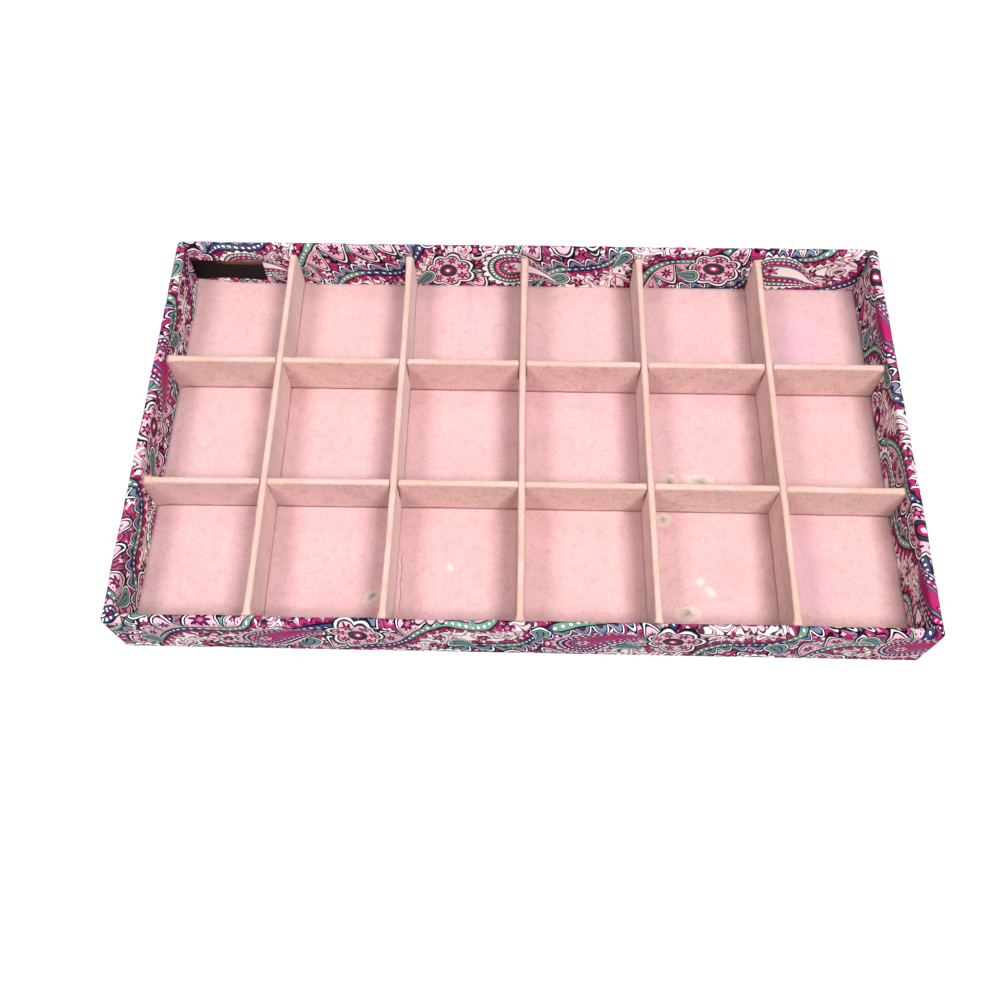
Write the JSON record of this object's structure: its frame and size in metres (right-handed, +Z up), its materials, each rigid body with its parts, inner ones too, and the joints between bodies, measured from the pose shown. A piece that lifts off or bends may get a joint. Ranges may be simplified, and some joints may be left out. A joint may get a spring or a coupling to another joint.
{
  "type": "jewelry tray",
  "caption": "Shallow rectangular jewelry tray with cloth-covered board walls, a pink flocked floor and a lift-out egg-crate of flocked dividers that parts it into compartments.",
  "frame": {"origin": "middle of the underside, on the surface that the tray stands on", "axes": "+X along the length, to the right as seen from the front; +Y to the rear wall; +Z up"},
  "size_m": [0.404, 0.233, 0.0365],
  "materials": {
    "board": "raw grey-brown chipboard",
    "card": "raw grey card",
    "paper": "brown gummed paper tape",
    "cloth": "printed woven cotton, matte",
    "floor_flock": "matte pink flock",
    "divider_flock": "matte peach-pink flock",
    "label": "black woven ribbon, satin"
  },
  "bodies": {
    "tray": {"base_board": "board", "front_wall_board": "board", "rear_wall_board": "board", "left_wall_board": "board", "right_wall_board": "board", "front_left_corner_stay": "paper", "front_right_corner_stay": "paper", "rear_left_corner_stay": "paper", "rear_right_corner_stay": "paper", "front_cloth": "cloth", "rear_cloth": "cloth", "left_cloth": "cloth", "right_cloth": "cloth", "underside_card": "card", "floor_card": "card", "floor_flock": "floor_flock", "blank_label": "label"},
    "long_dividers": {"long_divider_1_board": "board", "long_divider_1_flock": "divider_flock", "long_divider_2_board": "board", "long_divider_2_flock": "divider_flock"},
    "short_divider_1": {"short_divider_1_board": "board", "short_divider_1_flock": "divider_flock"},
    "short_divider_2": {"short_divider_2_board": "board", "short_divider_2_flock": "divider_flock"},
    "short_divider_3": {"short_divider_3_board": "board", "short_divider_3_flock": "divider_flock"},
    "short_divider_4": {"short_divider_4_board": "board", "short_divider_4_flock": "divider_flock"},
    "short_divider_5": {"short_divider_5_board": "board", "short_divider_5_flock": "divider_flock"}
  },
  "joints": [
    {"name": "grid_lift", "type": "slide", "parent": "tray", "child": "long_dividers", "axis": [0, 0, 1], "range_m": [0, 0.045]},
    {"name": "short_divider_1_lift", "type": "slide", "parent": "long_dividers", "child": "short_divider_1", "axis": [0, 0, 1], "range_m": [0, 0.04]},
    {"name": "short_divider_2_lift", "type": "slide", "parent": "long_dividers", "child": "short_divider_2", "axis": [0, 0, 1], "range_m": [0, 0.04]},
    {"name": "short_divider_3_lift", "type": "slide", "parent": "long_dividers", "child": "short_divider_3", "axis": [0, 0, 1], "range_m": [0, 0.04]},
    {"name": "short_divider_4_lift", "type": "slide", "parent": "long_dividers", "child": "short_divider_4", "axis": [0, 0, 1], "range_m": [0, 0.04]},
    {"name": "short_divider_5_lift", "type": "slide", "parent": "long_dividers", "child": "short_divider_5", "axis": [0, 0, 1], "range_m": [0, 0.04]}
  ]
}
